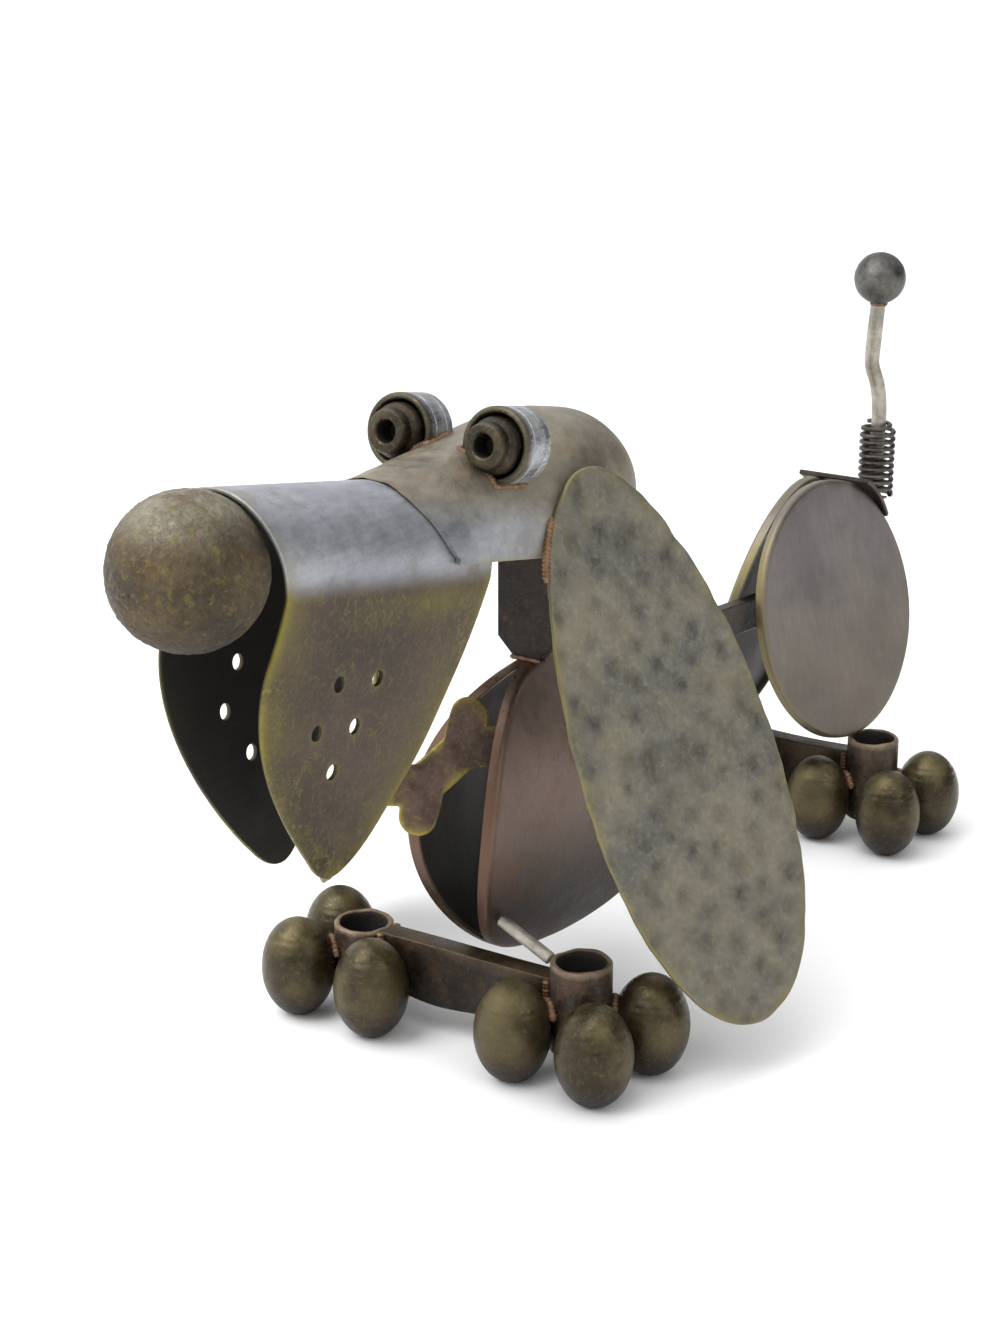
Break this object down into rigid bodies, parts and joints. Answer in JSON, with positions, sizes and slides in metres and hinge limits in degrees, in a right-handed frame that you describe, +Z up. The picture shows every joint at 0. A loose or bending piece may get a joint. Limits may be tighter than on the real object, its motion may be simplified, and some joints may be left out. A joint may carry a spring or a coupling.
{
  "type": "scrap metal dog sculpture",
  "caption": "Standing hound welded from scrap steel: ball nose, folded sheet muzzle, drooping hammered ears, dished disc chest and haunches, knob paws and a coil spring tail.",
  "frame": {"origin": "centre of the bounding box in X and Y, on the floor under the paws", "axes": "+Z up, -Y the way the dog faces, +X the dog's left side"},
  "size_m": [0.293, 0.665, 0.3414],
  "materials": {
    "nose_steel": "grainy rust brown and olive, satin",
    "muzzle_steel": "blue-grey along the ridge, purple brown on the jowls, olive cut edges",
    "cap_steel": "olive grey with rust and heat tint at the welds",
    "pale_tube": "bright brushed tube with olive rims",
    "gunmetal": "dark gunmetal",
    "ear_steel": "hammered mottled grey and green beige, yellowish cut edge",
    "dark_bar": "near-black mill scale with a brown bloom",
    "dark_tube": "dark oiled pipe",
    "chest_steel": "brushed grey to tan with a brown rolled lip",
    "haunch_steel": "vertically brushed taupe grey with a yellowish rim",
    "toe_steel": "satin turned knob, olive brown, darker below",
    "tag_steel": "purple brown with a bright yellow olive rim",
    "pale_rod": "pale zinc grey",
    "spring_wire": "dark spring steel",
    "tail_ball_steel": "grey satin steel"
  },
  "bodies": {
    "root": {"nose_ball": "nose_steel", "muzzle_sheet": "muzzle_steel", "head_cap": "cap_steel", "neck_bar": "dark_bar", "front_leg_bar": "dark_bar", "rear_leg_bar": "dark_bar", "spine_bar": "dark_bar", "prop_rod": "pale_rod", "bone_tag": "tag_steel", "tail_spring": "spring_wire", "tail_rod": "pale_rod", "tail_ball": "tail_ball_steel", "tail_bridge": "dark_bar", "eye_tube_left": "pale_tube", "eye_bush_left": "gunmetal", "ear_left": "ear_steel", "chest_disc_left": "chest_steel", "haunch_disc_left": "haunch_steel", "front_ankle_left": "dark_tube", "front_toe_inner_left": "toe_steel", "front_toe_outer_left": "toe_steel", "front_toe_back_left": "toe_steel", "rear_ankle_left": "dark_tube", "rear_toe_inner_left": "toe_steel", "rear_toe_outer_left": "toe_steel", "rear_toe_back_left": "toe_steel", "eye_tube_right": "pale_tube", "eye_bush_right": "gunmetal", "ear_right": "ear_steel", "chest_disc_right": "chest_steel", "haunch_disc_right": "haunch_steel", "front_ankle_right": "dark_tube", "front_toe_inner_right": "toe_steel", "front_toe_outer_right": "toe_steel", "front_toe_back_right": "toe_steel", "rear_ankle_right": "dark_tube", "rear_toe_inner_right": "toe_steel", "rear_toe_outer_right": "toe_steel", "rear_toe_back_right": "toe_steel"}
  },
  "joints": []
}
